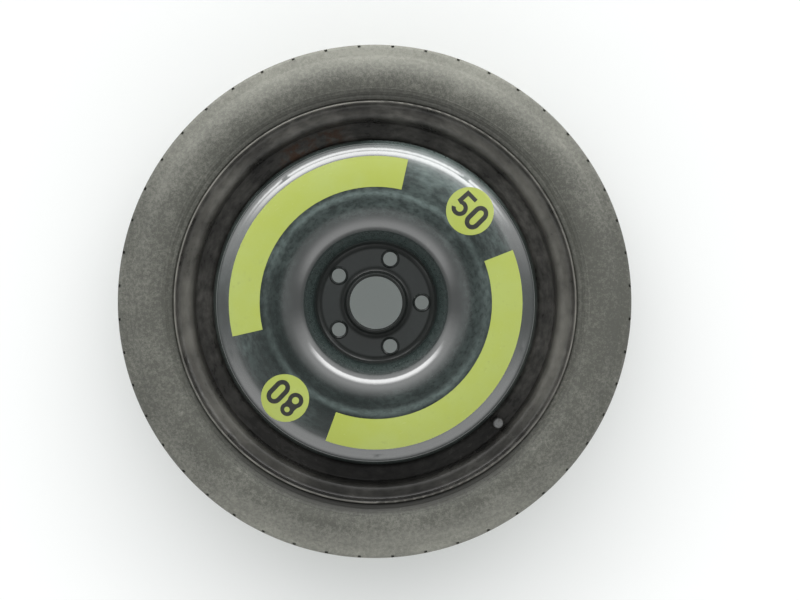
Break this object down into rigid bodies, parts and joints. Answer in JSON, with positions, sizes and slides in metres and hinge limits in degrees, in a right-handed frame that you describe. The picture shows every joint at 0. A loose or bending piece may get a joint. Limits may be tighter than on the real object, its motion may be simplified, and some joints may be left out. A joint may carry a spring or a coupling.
{
  "type": "spare wheel",
  "caption": "Temporary-use spare wheel: a dished pressed-steel disc in a narrow drop-centre rim, with its tyre, snap-in valve and speed-limit labels.",
  "frame": {"origin": "on the wheel's axis, in the plane of the rear face of the bolt pad, where it meets the hub", "axes": "+Z along the wheel's axis towards its front face, which lies up; +X and +Y as the picture's right and up"},
  "size_m": [0.568, 0.568, 0.1343],
  "materials": {
    "tyre": "dusty, lightly scuffed",
    "black_paint": "glossy black coat",
    "valve_rubber": "matte",
    "brass": "turned",
    "seal": "matte",
    "spring": "bright wire",
    "cap_plastic": "satin",
    "label_film": "printed film"
  },
  "bodies": {
    "wheel": {"tyre": "tyre", "rim": "black_paint", "wheel_disc": "black_paint", "disc_welds": "black_paint", "valve_body": "valve_rubber", "valve_stem": "brass", "core_barrel": "brass", "core_seal": "seal", "core_spring": "spring", "upper_label": "label_film", "lower_label": "label_film", "label_50": "label_film", "label_80": "label_film"},
    "cap_seal_body": {"cap_seal": "seal"},
    "cap_body": {"valve_cap": "cap_plastic"},
    "pin_body": {"core_pin": "brass", "core_cup": "seal"}
  },
  "joints": [
    {"name": "cap_lift", "type": "slide", "parent": "wheel", "child": "cap_seal_body", "axis": [-0.0866, 0.0857, 0.9925], "range_m": [0, 0.00556]},
    {"name": "cap_turn", "type": "hinge", "parent": "cap_seal_body", "child": "cap_body", "pos_m": [0.1329, -0.13152, 0.01141], "axis": [-0.0866, 0.0857, 0.9925], "range_deg": [0, 2520]},
    {"name": "pin_press", "type": "slide", "parent": "wheel", "child": "pin_body", "axis": [0.0866, -0.0857, -0.9925], "range_m": [0, 0.0012], "stiffness_N_per_m": 600, "springref_m": -0.0005, "deforming": ["core_spring"]}
  ],
  "couplings": [
    {"joint": "cap_turn", "follows": "cap_lift", "rad_per_m": 7915.8}
  ]
}
